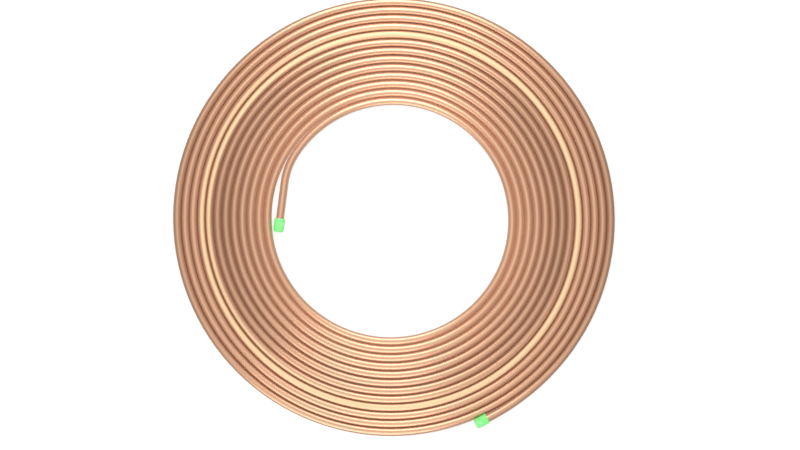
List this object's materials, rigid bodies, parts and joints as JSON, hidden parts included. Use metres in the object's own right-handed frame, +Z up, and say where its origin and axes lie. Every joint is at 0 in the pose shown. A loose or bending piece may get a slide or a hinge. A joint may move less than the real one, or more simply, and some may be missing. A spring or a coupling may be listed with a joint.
{
  "type": "copper tube coil",
  "caption": "Flat pancake coil of soft copper tube, wound in one layer around an open bore, with a plastic cap on each end of the tube.",
  "frame": {"origin": "centre of the bounding box in plan, on the floor that the coil lies on", "axes": "+Z up, square to the coil's flat sides. +X and +Y lie in the coil's plane, with +Y on the side opposite the outer end of the tube"},
  "size_m": [0.531, 0.5242, 0.016],
  "materials": {
    "copper": "bright drawn copper",
    "cap_plastic": "soft moulded plastic, light green"
  },
  "bodies": {
    "root": {"copper_tube": "copper", "outer_end_cap": "cap_plastic", "inner_end_cap": "cap_plastic"}
  },
  "joints": []
}
